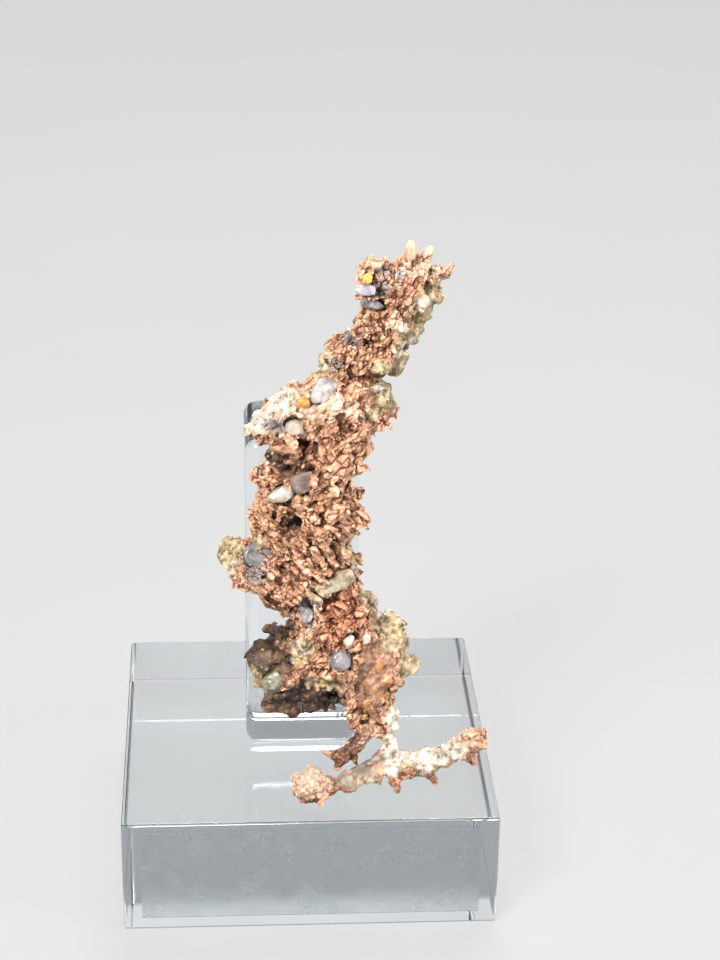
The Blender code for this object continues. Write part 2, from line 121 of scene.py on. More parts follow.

# Where each look lies on the copper: centre, half sizes. Crust is the gritty coat, and grey,
# red and pink are colours of the metal. Dark is the foot's dark metal and also painted shade
# in the recess and the hollow. The places in shade get painted shade, darker copper laid in
# recesses and on undersides, and pale ones are dusty. The relief is faint where the metal is
# smooth, and the trough is the blade's hollow side.
ZONES = {
    "crust": (
        ((-3.2, -10.6, 57.4), (3.2, 3.0, 1.6)),
        ((-6.2, -9.6, 55.2), (1.4, 3.0, 1.4)),
        ((12.3, -8.8, 66.6), (2.3, 4.4, 3.4)),
        ((10.5, -8.8, 62.4), (2.2, 4.4, 3.4)),
        ((8.3, -9.2, 58.6), (2.1, 4.6, 3.2)),
        ((6.2, -12.0, 56.2), (1.2, 2.0, 0.7)),
        ((0.9, -9.4, 61.4), (1.6, 3.0, 1.8)),
        ((6.6, -11.4, 72.0), (1.2, 1.4, 0.8)),
        ((-9.0, -9.6, 39.4), (2.0, 3.6, 2.5)),
        ((-6.6, -11.0, 42.2), (1.8, 2.0, 1.0)),
        ((4.8, -10.4, 40.4), (1.2, 2.6, 1.8)),
        ((0.8, -13.0, 37.3), (1.5, 1.4, 0.8)),
        ((7.0, -9.8, 36.0), (2.1, 4.2, 3.0)),
        ((9.1, -9.8, 32.2), (2.2, 4.2, 3.0)),
        ((10.9, -9.8, 28.6), (2.2, 4.4, 3.0)),
        ((11.1, -9.6, 24.8), (2.3, 4.4, 3.0)),
        ((-0.9, -13.0, 29.8), (1.1, 1.4, 1.4)),
        ((1.4, -13.4, 25.6), (1.9, 1.4, 0.8)),
        ((-5.6, -9.8, 24.8), (1.4, 3.0, 1.8)),
        ((9.0, -15.0, 19.2), (1.9, 1.6, 2.0)),
        ((8.6, -16.0, 17.4), (1.7, 1.3, 1.1)),
        ((6.2, -16.6, 15.9), (1.4, 1.0, 0.6)),
        ((11.4, -15.2, 17.4), (2.2, 1.4, 1.6)),
        ((14.6, -14.6, 18.2), (1.6, 1.0, 1.2)),
        ((9.2, -13.2, 22.1), (1.1, 1.4, 1.3)),
    ),
    "grey": (
        ((-3.6, -12.0, 55.5), (2.2, 1.4, 0.9)),
        ((4.1, -9.8, 64.2), (1.2, 1.8, 1.0)),
        ((2.4, -11.4, 61.6), (1.4, 1.6, 0.8)),
        ((7.6, -11.0, 71.0), (1.5, 1.4, 0.7)),
        ((6.6, -10.8, 69.6), (1.3, 1.4, 1.3)),
        ((-5.8, -12.0, 39.6), (1.5, 1.8, 1.8)),
        ((-0.5, -13.4, 34.6), (1.2, 1.4, 1.5)),
        ((0.8, -13.2, 36.3), (1.9, 1.4, 0.6)),
        ((4.2, -12.8, 28.2), (1.6, 1.4, 1.0)),
    ),
    "dark_and_shade": (
        ((-4.2, -9.6, 27.4), (3.2, 4.6, 4.4)),
        ((-3.2, -9.8, 31.4), (1.5, 3.4, 2.2)),
        ((-0.8, -10.2, 22.8), (4.6, 4.8, 2.6)),
        ((-3.6, -9.8, 24.4), (3.6, 4.4, 2.6)),
        ((-1.4, -12.0, 24.4), (2.0, 2.6, 1.7)),
        ((-6.6, -9.9, 54.8), (0.9, 2.0, 0.8)),
        # The next two are painted shade: the recess and the hollow are darkened here because they
        # lie in shade
        ((-2.8, -9.4, 50.9), (1.9, 2.0, 1.7)),
        ((-1.9, -10.2, 44.3), (1.5, 2.2, 0.9)),
    ),
    # Painted shade: copper darkened where it lies in shade, in recesses, hollows and on undersides
    "painted_shade": (
        ((-2.0, -9.8, 50.6), (2.7, 2.6, 2.2)),
        ((-1.9, -10.8, 44.3), (1.9, 2.8, 1.4)),
        ((4.4, -14.0, 18.6), (2.8, 1.8, 2.8)),
        ((0.2, -17.0, 14.2), (2.2, 2.0, 1.1)),
        ((3.2, -13.2, 55.0), (1.1, 2.0, 0.6)),
        ((-1.0, -11.4, 52.6), (1.6, 1.6, 0.9)),
        ((5.2, -10.4, 60.2), (2.6, 2.6, 0.7)),
        ((-4.4, -12.0, 35.4), (2.0, 2.6, 0.9)),
        ((-2.6, -11.6, 52.7), (2.6, 2.0, 1.0)),
    ),
    "pale": (
        ((10.0, -8.5, 72.8), (1.1, 1.4, 1.6)),
        ((12.0, -8.5, 72.4), (0.9, 1.2, 1.1)),
        ((8.6, -12.2, 65.8), (1.6, 1.2, 0.8)),
        ((1.2, -13.6, 57.6), (3.0, 1.8, 1.6)),
        ((-4.2, -11.0, 56.6), (4.2, 3.4, 2.6)),
        ((11.8, -9.2, 71.2), (2.6, 2.0, 0.9)),
        ((9.0, -15.4, 18.8), (2.2, 1.8, 2.4)),
        ((12.4, -15.0, 18.0), (3.2, 1.6, 2.0)),
        ((15.4, -14.4, 18.8), (2.4, 1.6, 2.0)),
        ((-0.1, -17.6, 16.6), (2.4, 2.0, 1.5)),
        ((6.4, -14.4, 20.2), (1.4, 1.4, 1.6)),
        ((8.9, -13.8, 22.2), (1.4, 1.6, 1.6)),
    ),
    "red": (
        ((3.6, -12.8, 34.4), (2.6, 2.2, 2.7)),
        ((2.6, -13.2, 31.6), (2.0, 1.8, 1.6)),
    ),
    "pink": (
        ((7.0, -13.4, 27.6), (2.9, 2.4, 3.8)),
        ((6.8, -13.6, 24.4), (2.5, 2.6, 3.0)),
    ),
    "smooth": (
        ((7.2, -16.0, 18.1), (1.5, 1.1, 1.1)),
        ((5.6, -16.4, 17.2), (1.5, 1.1, 1.1)),
        ((3.9, -16.8, 16.2), (1.5, 1.1, 1.1)),
        ((7.0, -13.2, 27.2), (2.2, 2.4, 3.2)),
        ((10.0, -8.5, 73.2), (0.9, 1.2, 1.3)),
        ((12.0, -8.5, 72.8), (0.7, 1.0, 0.9)),
        ((-4.0, -10.4, 28.2), (1.6, 2.4, 1.4)),
        ((-1.9, -10.8, 44.4), (1.5, 2.6, 1.0)),
        ((-2.4, -11.8, 52.7), (2.0, 1.2, 0.6)),
    ),
    "trough": (
        ((7.3, -16.0, 18.3), (1.5, 1.2, 0.9)),
        ((5.6, -16.4, 17.3), (1.5, 1.2, 0.9)),
        ((3.8, -16.8, 16.2), (1.5, 1.2, 0.9)),
    ),
}


# Large odd numbers that mix bits well
HASH_START, HASH_FIRST, HASH_SECOND = 2654435761, 2246822519, 3266489917


def hash_unit(keys, salt):
    """Repeatable numbers from 0 to 1 for rows of whole numbers. Another salt gives others."""
    mixed = np.full(keys.shape[0], np.uint32(salt * HASH_START % 2 ** 32), dtype=np.uint32)
    for column in range(3):
        value = keys[:, column].astype(np.int64).astype(np.uint32)
        mixed = (mixed ^ value) * np.uint32(HASH_FIRST)
        mixed ^= mixed >> np.uint32(15)
        mixed *= np.uint32(HASH_SECOND)
        mixed ^= mixed >> np.uint32(13)
    return mixed.astype(np.float64) / 2.0 ** 32


def cells(points, size, salt):
    """Distances to the nearest two of the scattered seeds, the nearest one's key and offset."""
    scaled = points / size
    home = np.floor(scaled).astype(np.int64)
    count = len(points)
    first, second = np.full(count, 9.0), np.full(count, 9.0)
    key, offset = np.zeros((count, 3), dtype=np.int64), np.zeros((count, 3))
    for dx in (-1, 0, 1):
        for dy in (-1, 0, 1):
            for dz in (-1, 0, 1):
                cell = home + np.array((dx, dy, dz))
                seed = cell + np.stack([hash_unit(cell, salt + k) for k in range(3)], axis=1)
                away = scaled - seed
                distance = np.linalg.norm(away, axis=1)
                nearer = distance < first
                second = np.where(nearer, first, np.minimum(second, distance))
                first = np.where(nearer, distance, first)
                key[nearer] = cell[nearer]
                offset[nearer] = away[nearer]
    return first, second, key, offset


def value_noise(points, size, salt):
    """Smooth noise from -1 to 1."""
    scaled = points / size
    home = np.floor(scaled).astype(np.int64)
    part = scaled - home
    part = part * part * (3.0 - 2.0 * part)
    total = np.zeros(len(points))
    for corner in range(8):
        step = np.array([(corner >> axis) & 1 for axis in range(3)])
        weight = np.prod(np.where(step, part, 1.0 - part), axis=1)
        total += weight * hash_unit(home + step, salt)
    return total * 2.0 - 1.0


def rough_noise(points, size, salt, octaves=3):
    """Noise with ever finer and fainter detail."""
    total = np.zeros(len(points))
    for octave in range(octaves):
        total += value_noise(points, size / 2 ** octave, salt + 11 * octave) / 2 ** octave
    return total


def facet_relief(points, size, salt):
    """Steps and tilted planes as on grown crystals, how near a crevice is, and a shade."""
    first, second, key, offset = cells(points, size, salt)
    height = hash_unit(key, salt + 5)
    slope = np.stack([hash_unit(key, salt + 6 + k) for k in range(3)], axis=1) - 0.5
    plane = np.sum(slope * offset, axis=1)
    crevice = np.clip(1.0 - (second - first) / CREVICE_WIDTH, 0.0, 1.0)
    return height - 0.5 + FACET_TILT * plane, crevice, hash_unit(key, salt + 9)


def stretched(points, flow, long, across):
    """Places in a space where crystals that run along the flow have unit size."""
    flow = np.array(flow) / np.linalg.norm(flow)
    along = points @ flow
    return points / across + np.outer(along * (1.0 / long - 1.0 / across), flow)


def distance_to(places, points):
    """Distance to the nearest place's middle, 1 on its border, for each point."""
    return np.min([np.linalg.norm((points - np.array(centre)) / np.array(half), axis=1)
                   for centre, half in places], axis=0)


def weight_in(places, points):
    """1 inside any of the places, 0 well outside them."""
    return np.clip((1.2 - distance_to(places, points)) / 0.4, 0.0, 1.0)


def zone_weights(points):
    """How strongly each look applies at each point, with frayed borders."""
    fray = FRAY * rough_noise(points, 1.5, 71, 3)
    return {name: np.clip((1.25 - distance_to(places, points) - fray) / 0.4, 0.0, 1.0)
            for name, places in ZONES.items()}


def mesh_triangles(mesh):
    """A mesh's faces as triangles, three point numbers each."""
    mesh.calc_loop_triangles()
    triangles = np.empty(len(mesh.loop_triangles) * 3, dtype=np.int32)
    mesh.loop_triangles.foreach_get("vertices", triangles)
    return triangles.reshape(-1, 3)


def mesh_arrays(mesh):
    """A mesh's points in millimetres and its triangles."""
    points = np.empty(len(mesh.vertices) * 3)
    mesh.vertices.foreach_get("co", points)
    return points.reshape(-1, 3) / MM, mesh_triangles(mesh)


def solid(name):
    """A node's points in millimetres, joined where they meet and drawn in, and its triangles."""
    bm = bmesh.new()
    bm.from_mesh(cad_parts[name].data)
    bmesh.ops.remove_doubles(bm, verts=bm.verts, dist=0.001 * MM)
    mesh = bpy.data.meshes.new("solid")
    bm.to_mesh(mesh)
    bm.free()
    points, triangles = mesh_arrays(mesh)
    bpy.data.meshes.remove(mesh)
    return points - DRAWN_IN.get(name, 0.0) * point_normals(points, triangles), triangles


def resized(points, ratio):
    """The points made larger or smaller about their middle."""
    middle = points.mean(axis=0)
    return (points - middle) * ratio + middle


def make_piece(name, points, faces, material, attributes=None):
    """A piece of the scene that rides the one body, with a value at each point per attribute."""
    mesh = bpy.data.meshes.new(name)
    mesh.from_pydata((points * MM).tolist(), [], faces.tolist())
    for key, values in (attributes or {}).items():
        layer = mesh.attributes.new(key, "FLOAT", "POINT")
        layer.data.foreach_set("value", np.ascontiguousarray(values, dtype=np.float32))
    mesh.materials.append(material)
    mesh.update()
    piece = bpy.data.objects.new(name, mesh)
    bpy.context.scene.collection.objects.link(piece)
    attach(piece, "root")
    return piece


def ball(centre, half, rings=10, sides=16):
    """Points and faces of a closed ellipsoid."""
    points = [(0.0, 0.0, 1.0)]
    for ring in range(1, rings):
        polar = math.pi * ring / rings
        for side in range(sides):
            around = math.tau * side / sides
            points.append((math.sin(polar) * math.cos(around),
                           math.sin(polar) * math.sin(around), math.cos(polar)))
    points.append((0.0, 0.0, -1.0))
    last = len(points) - 1
    faces = []
    for side in range(sides):
        after = (side + 1) % sides
        faces.append((0, 1 + side, 1 + after))
        faces.append((last, last - sides + after, last - sides + side))
        for ring in range(rings - 2):
            a, b = 1 + ring * sides + side, 1 + ring * sides + after
            faces.append((a, a + sides, b + sides))
            faces.append((a, b + sides, b))
    return np.array(points) * half + np.array(centre), np.array(faces)


def merged(parts):
    """Several pairs of points and faces as one pair."""
    points, faces, start = [], [], 0
    for part_points, part_faces in parts:
        points.append(part_points)
        faces.append(part_faces + start)
        start += len(part_points)
    return np.concatenate(points), np.concatenate(faces)


def remeshed(points, faces, voxel):
    """One skin round overlapping shapes: its points and triangles."""
    mesh = bpy.data.meshes.new("raw")
    mesh.from_pydata((points * MM).tolist(), [], faces.tolist())
    raw = bpy.data.objects.new("raw", mesh)
    bpy.context.scene.collection.objects.link(raw)
    modifier = raw.modifiers.new("skin", "REMESH")
    modifier.mode = "VOXEL"
    modifier.voxel_size = voxel * MM
    graph = bpy.context.evaluated_depsgraph_get()
    skin = bpy.data.meshes.new_from_object(raw.evaluated_get(graph))
    bpy.data.objects.remove(raw)
    result_points, triangles = mesh_arrays(skin)
    bpy.data.meshes.remove(skin)
    return result_points, triangles


def face_normals(points, triangles):
    """Each triangle's outward direction and area."""
    a, b, c = (points[triangles[:, k]] for k in range(3))
    cross = np.cross(b - a, c - a)
    area = np.linalg.norm(cross, axis=1)
    return cross / np.maximum(area, 1e-12)[:, None], area / 2.0


def point_normals(points, triangles):
    """Each point's outward direction."""
    normals, areas = face_normals(points, triangles)
    total = np.zeros_like(points)
    for k in range(3):
        for axis in range(3):
            total[:, axis] += np.bincount(
                triangles[:, k], normals[:, axis] * areas, minlength=len(points))
    return total / np.maximum(np.linalg.norm(total, axis=1), 1e-12)[:, None]


def relaxed(points, triangles, rounds):
    """The points moved towards their neighbours' middle."""
    ends = np.concatenate([triangles[:, [0, 1]], triangles[:, [1, 2]], triangles[:, [2, 0]]])
    count = np.maximum(np.bincount(ends[:, 0], minlength=len(points)), 1)
    current = points.copy()
    for _ in range(rounds):
        moved = np.stack([
            np.bincount(ends[:, 0], current[ends[:, 1], axis], minlength=len(points))
            for axis in range(3)], axis=1)
        current = 0.5 * current + 0.5 * moved / count[:, None]
    return current


def room_mask(points, margin=0.5):
    """0 where the copper meets the post or the block, 1 well away from them."""
    above = (points[:, 2] - base_high[2] - STAND_GAP) / margin
    front = (post_low[1] - STAND_GAP - points[:, 1]) / margin
    beside = np.maximum(post_low[0] - points[:, 0], points[:, 0] - post_high[0]) / margin
    over = (points[:, 2] - post_high[2]) / margin
    clear = np.maximum(np.maximum(front, beside), over)
    return np.clip(np.minimum(above, clear), 0.0, 1.0)


def cut_between(points, triangles, low, high):
    """The part of a closed mesh between two heights, closed again."""
    bm = bmesh.new()
    mesh = bpy.data.meshes.new("part")
    mesh.from_pydata(points.tolist(), [], triangles.tolist())
    bm.from_mesh(mesh)
    for height, side in ((low, -1.0), (high, 1.0)):
        bmesh.ops.bisect_plane(
            bm, geom=bm.verts[:] + bm.edges[:] + bm.faces[:],
            plane_co=(0.0, 0.0, height), plane_no=(0.0, 0.0, side), clear_outer=True)
        bmesh.ops.holes_fill(bm, edges=[e for e in bm.edges if e.is_boundary])
    bmesh.ops.triangulate(bm, faces=bm.faces)
    bm.to_mesh(mesh)
    bm.free()
    result = np.array([v.co[:] for v in mesh.vertices]), mesh_triangles(mesh)
    bpy.data.meshes.remove(mesh)
    return result


def clear_of_grains(points):
    """0 where a quartz grain or a bead lies bare, 1 elsewhere."""
    places = []
    for name in GRAIN_NODES:
        low, high = (np.array(v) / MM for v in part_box(name))
        places.append(((low + high) / 2.0, (high - low) / 2.0))
    return np.where(distance_to(places, points) < BARE_SIZE, 0.0, 1.0)


def grow(surface, growth, scale, seed):
    """Crystals on a surface: points, faces, and each point's rise, host triangle and shade."""
    points, triangles = surface
    shape, density, sizes, lean, lie, flow, sink, places = growth
    rng = np.random.default_rng(seed)
    normals, areas = face_normals(points, triangles)
    middle = points[triangles].mean(axis=1)
    weight = areas * (room_mask(middle, 0.8) > 0.9) * clear_of_grains(middle)
    weight = weight * (weight_in(places, middle) if places else 1.0)
    weight = weight * (1.0 - weight_in(CLEARINGS, middle))
    zones = zone_weights(middle)
    plain = np.maximum(zones["smooth"], 0.0 if places else 0.7 * zones["crust"])
    weight = weight * (1.0 - 0.94 * plain)
    count = int(density * weight.sum() / scale ** 2)
    if count == 0:
        return np.zeros((0, 3)), np.zeros((0, 3), int), np.zeros(0), np.zeros(0, int), np.zeros(0)
    chosen = rng.choice(len(triangles), size=count, p=weight / weight.sum())
    mix = rng.dirichlet((1.0, 1.0, 1.0), size=count)
    place = np.einsum("nk,nkj->nj", mix, points[triangles[chosen]])
    normal = normals[chosen]
    along = np.array(flow) if flow else rng.normal(size=(count, 3))
    along = along - np.sum(along * normal, axis=1)[:, None] * normal
    along = along / np.maximum(np.linalg.norm(along, axis=1), 1e-6)[:, None]
    direction = (1.0 - lie) * normal + lie * along + lean * rng.normal(size=(count, 3))
    direction /= np.linalg.norm(direction, axis=1)[:, None]
    flat = normal + TURN_SPREAD * rng.normal(size=(count, 3))
    first = np.cross(flat, direction)
    first /= np.maximum(np.linalg.norm(first, axis=1), 1e-9)[:, None]
    turn = np.stack([first, np.cross(direction, first), direction], axis=2)
    low, high = sizes
    size = scale * (low + (high - low) * rng.random((count, 1)) ** SMALL_BIAS)
    unit, faces = SHAPES[shape]
    stretch = size * rng.uniform(*PROPORTIONS, size=(count, 3))
    jitter = rng.normal(size=(count, len(unit), 3)) * size[:, None] * CORNER_SPREAD
    world = np.einsum("nij,nvj->nvi", turn, unit[None] * stretch[:, None] + jitter)
    upright = (0.5 - sink) * size * (1.0 - lie) * direction
    lying = (0.12 - 0.3 * sink) * size * lie * normal
    world += (place + (upright + lying))[:, None]
    all_faces = (faces[None] + (np.arange(count) * len(unit))[:, None, None]).reshape(-1, 3)
    rise = np.einsum("nvj,nj->nv", world - place[:, None], normal) / size
    host = np.repeat(chosen, len(unit))
    shade = np.repeat(rng.random(count), len(unit))
    return world.reshape(-1, 3), all_faces, rise.reshape(-1), host, shade


def placed(shape, start, end, width, thickness):
    """One crystal between two places, its flat side to the front."""
    start, end = np.array(start), np.array(end)
    length = np.linalg.norm(end - start)
    direction = (end - start) / length
    side = np.cross(direction, FACING)
    side /= np.linalg.norm(side)
    turn = np.stack([side, np.cross(direction, side), direction])
    unit, faces = SHAPES[shape]
    local = unit / np.ptp(unit, axis=0) * (width, thickness, length)
    return local @ turn + (start + end) / 2.0, faces


def tone_of(shade, cavity_shade, edge_wear_and_highlight, zones):
    """How light the metal is: more in pale places, with painted highlight and wear on edges, and
    less with painted shade in hollows and in shaded places.
    """
    tone = np.clip(0.50 + 0.46 * (shade - 0.5) + 0.32 * edge_wear_and_highlight - 0.48 * cavity_shade, 0.0, 1.0)
    return tone + 0.10 * zones["pale"] - 0.30 * zones["painted_shade"]


def grown_skin(solids, plates, scale, texture, seed):
    """Solids and crystals of falling size under one natural surface, with its looks."""
    surface = merged(solids)
    steps = ((FIRST_VOXEL, COARSE_GROWTHS, []), (SKIN_VOXEL, MIDDLE_GROWTHS, plates))
    for voxel, growths, extra in steps:
        parts = [surface] + extra
        for growth in growths:
            seed += 1
            parts.append(grow(surface, growth, scale, seed)[:2])
        surface = remeshed(*merged(parts), voxel)
    points, triangles = surface
    zones = zone_weights(points)
    normals = point_normals(relaxed(points, triangles, 4), triangles)
    plain = np.maximum(zones["crust"], 0.7 * zones["dark_and_shade"])
    flow, long, across, strength, lightness = texture
    unit_space = stretched(points, flow, long, across)
    large, crevice_large, shade_large = facet_relief(unit_space, 1.0, 3)
    small, crevice_small, shade_small = facet_relief(unit_space, 0.55, 23)
    facets = LARGE_FACETS * large - LARGE_CREVICES * crevice_large
    push = strength * facets * (1.0 - 0.88 * plain)
    push += (SMALL_FACETS * small - SMALL_CREVICES * crevice_small) * (1.0 - 0.6 * plain)
    push += GRIT * rough_noise(points, 0.45, 41, 2)
    push += CRUST_LUMPS * zones["crust"] * rough_noise(points, 1.3, 47, 3)
    push *= scale * (1.0 - 0.88 * zones["smooth"]) * room_mask(points)
    moved = points + normals * push[:, None]
    near = relaxed(moved, triangles, 6)
    hollow = np.sum((near - moved) * normals, axis=1)
    wide = np.sum((relaxed(near, triangles, 30) - moved) * normals, axis=1)
    # Painted shade: the tone is darkened in hollows and along the crevices between facets
    cavity_shade = 0.45 * np.clip(hollow / NEAR_HOLLOW, 0.0, 1.0)
    cavity_shade += 0.65 * np.clip(wide / WIDE_HOLLOW, 0.0, 1.0)
    seam_shade = 0.44 * crevice_large + 0.18 * crevice_small
    cavity_shade += seam_shade * (1.0 - plain) * (1.0 - zones["smooth"])
    # Partly wear and partly painted highlight: the tone is lightened on edges that stand out
    edge_wear_and_highlight = np.clip(-hollow / EDGE_RISE, 0.0, 1.0)
    shade = 0.60 * shade_large + 0.30 * shade_small + 0.07 + 0.22 * value_noise(points, 1.6, 55)
    tone = tone_of(shade, np.clip(cavity_shade, 0.0, 1.0), edge_wear_and_highlight, zones) + lightness
    return moved, triangles, dict(zones, tone=tone)


# A prong's rings: radius, height
PRONG_RINGS = ((0.50, -0.5), (0.50, 0.08), (0.42, 0.34), (0.22, 0.5))


def unit_shapes():
    """Crystal shapes of unit size, long or tall along Z, their flat side facing Y."""
    ratio = (1.0 + math.sqrt(5.0)) / 2.0
    corners = []
    for a in (-1.0, 1.0):
        for b in (-ratio, ratio):
            corners += [(0.0, a, b), (a, b, 0.0), (b, 0.0, a)]
    round_form = np.array(corners) / math.hypot(1.0, ratio) * 0.5
    bar = [(math.cos(math.tau * k / 6), math.sin(math.tau * k / 6)) for k in range(6)]
    lath = [(0.16 * x, 0.10 * y, z) for x, y in bar for z in (-0.38, 0.38)]
    lath += [(0.0, 0.0, -0.5), (0.0, 0.0, 0.5)]
    prism = [(0.26 * x, 0.26 * y, z) for x, y in bar for z in (-0.5, 0.25)] + [(0.03, 0.0, 0.5)]
    block = [(x, y, z) for x in (-0.36, 0.36) for y in (-0.30, 0.30) for z in (-0.40, 0.40)]
    shapes = {
        "lump": round_form * (1.0, 0.8, 1.0),
        "plate": round_form * (0.85, 0.42, 1.1),
        "lath": np.array(lath),
        "prism": np.array(prism),
        "block": np.array(block),
        "prong": np.array([(r * x, r * y, z) for r, z in PRONG_RINGS for x, y in bar]),
    }
    return {name: (points, hull_faces(points)) for name, points in shapes.items()}


def hull_faces(points):
    """Triangles of the points' convex hull, facing out."""
    bm = bmesh.new()
    verts = [bm.verts.new(p) for p in points]
    bmesh.ops.convex_hull(bm, input=verts)
    bmesh.ops.triangulate(bm, faces=bm.faces)
    bmesh.ops.recalc_face_normals(bm, faces=bm.faces)
    bm.verts.index_update()
    faces = np.array([[v.index for v in face.verts] for face in bm.faces])
    bm.free()
    return faces


def scatter(name, skin, scale, material, seed):
    """Many small crystals joined in one piece, grown out of the skin."""
    points, triangles, attributes = skin
    parts, values = [], {key: [] for key in attributes}
    for index, growth in enumerate(FINE_GROWTHS):
        world, faces, rise, host, shade = grow((points, triangles), growth, scale, seed + index)
        parts.append((world, faces))
        looks = {key: layer[triangles[host, 0]] for key, layer in attributes.items()}
        # Painted shade at each crystal's foot and painted highlight on its top, by how far it
        # rises
        cavity_shade, edge_wear_and_highlight = np.clip(0.55 - 2.0 * rise, 0.0, 1.0), np.clip(rise, 0.0, 0.6)
        looks["tone"] = tone_of(shade, cavity_shade, edge_wear_and_highlight, looks)
        for key, row in looks.items():
            values[key].append(row)
    all_points, all_faces = merged(parts)
    layers = {key: np.concatenate(rows) for key, rows in values.items()}
    make_piece(name, all_points, all_faces, material, layers)


def new_material(name):
    """A material, its node tree and its shader."""
    material = bpy.data.materials.new(name)
    material.use_nodes = True
    tree = material.node_tree
    return material, tree, tree.nodes["Principled BSDF"]


def attribute_node(tree, name):
    """The value that the mesh holds under a name."""
    node = tree.nodes.new("ShaderNodeAttribute")
    node.attribute_name = name
    return node.outputs["Fac"]


def noise_node(tree, scale_mm, detail=4.0, roughness=0.6):
    """Noise with marks of about this many millimetres."""
    node = tree.nodes.new("ShaderNodeTexNoise")
    node.inputs["Scale"].default_value = 1.0 / (scale_mm * MM)
    node.inputs["Detail"].default_value = detail
    node.inputs["Roughness"].default_value = roughness
    coordinates = tree.nodes.new("ShaderNodeTexCoord")
    tree.links.new(coordinates.outputs["Object"], node.inputs["Vector"])
    return node.outputs["Fac"]


def ramp_node(tree, value, stops):
    """Colours by value: each stop is a position and a colour, or one number for a grey."""
    node = tree.nodes.new("ShaderNodeValToRGB")
    elements = node.color_ramp.elements
    while len(elements) < len(stops):
        elements.new(0.5)
    for element, (position, colour) in zip(elements, stops):
        element.position = position
        element.color = (*(colour if isinstance(colour, tuple) else (colour,) * 3), 1.0)
    tree.links.new(value, node.inputs["Fac"])
    return node.outputs["Color"]


def mix_node(tree, factor, first, second, blend="MIX"):
    """Two colours mixed by a factor, each a node's output or a plain value."""
    node = tree.nodes.new("ShaderNodeMix")
    node.data_type = "RGBA"
    node.blend_type = blend
    sockets = {s.identifier: s for s in node.inputs}
    for value, socket in ((factor, "Factor_Float"), (first, "A_Color"), (second, "B_Color")):
        if isinstance(value, (int, float)):
            sockets[socket].default_value = value
        elif isinstance(value, tuple):
            sockets[socket].default_value = (*value, 1.0)
        else:
            tree.links.new(value, sockets[socket])
    return [s for s in node.outputs if s.identifier == "Result_Color"][0]


def patches(tree, value, low, high):
    """0 where the value is below the low limit, 1 above the high one."""
    return ramp_node(tree, value, ((low, 0.0), (high, 1.0)))


def math_node(tree, operation, first, second=0.0):
    """A sum, product and so on of two values, kept between 0 and 1."""
    node = tree.nodes.new("ShaderNodeMath")
    node.operation = operation
    node.use_clamp = True
    for index, value in enumerate((first, second)):
        if isinstance(value, (int, float)):
            node.inputs[index].default_value = value
        else:
            tree.links.new(value, node.inputs[index])
    return node.outputs["Value"]


def bump_node(tree, shader, value, distance_mm, strength):
    """Fine unevenness in the shader's light, from a value."""
    node = tree.nodes.new("ShaderNodeBump")
    node.inputs["Strength"].default_value = strength
    node.inputs["Distance"].default_value = distance_mm * MM
    tree.links.new(value, node.inputs["Height"])
    tree.links.new(node.outputs["Normal"], shader.inputs["Normal"])


def bare_copper(tree, tone, broad):
    """Bare metal by tone, and its redder form, darkest where the tone holds painted shade and
    lightest where it holds painted highlight.
    """
    copper = ramp_node(tree, tone, (
        (0.06, (0.050, 0.022, 0.012)),
        (0.26, (0.21, 0.092, 0.050)),
        (0.46, (0.47, 0.245, 0.148)),
        (0.66, (0.67, 0.410, 0.270)),
        (0.90, (0.91, 0.700, 0.545)),
    ))
    duller = mix_node(tree, 1.0, copper, (0.92, 0.94, 0.92), "MULTIPLY")
    copper = mix_node(tree, patches(tree, broad, 0.42, 0.60), copper, duller)
    red = ramp_node(tree, tone, (
        (0.10, (0.06, 0.020, 0.011)), (0.35, (0.28, 0.100, 0.050)),
        (0.60, (0.56, 0.260, 0.150)), (0.90, (0.84, 0.540, 0.370)),
    ))
    return mix_node(tree, attribute_node(tree, "red"), copper, red)


def pink_copper(tree, broad):
    """The foot's pink, fine grained face, with orange patches."""
    pink = ramp_node(tree, noise_node(tree, 0.5, 5.0), (
        (0.36, (0.13, 0.062, 0.038)), (0.50, (0.34, 0.175, 0.104)), (0.66, (0.53, 0.325, 0.195)),
    ))
    return mix_node(tree, patches(tree, broad, 0.52, 0.62), pink, (0.42, 0.150, 0.040))


def crust_colour(tree, broad):
    """The gritty crust, ochre to ashen."""
    grit = noise_node(tree, 0.9, 6.0, 0.72)
    ochre = ramp_node(tree, grit, (
        (0.38, (0.10, 0.060, 0.028)), (0.48, (0.30, 0.220, 0.118)), (0.62, (0.58, 0.480, 0.310)),
    ))
    ashen = ramp_node(tree, grit, (
        (0.38, (0.10, 0.064, 0.042)), (0.46, (0.36, 0.290, 0.225)), (0.58, (0.70, 0.620, 0.525)),
    ))
    ashes = math_node(tree, "ADD", patches(tree, broad, 0.54, 0.66), attribute_node(tree, "pale"))
    return mix_node(tree, ashes, ochre, ashen)


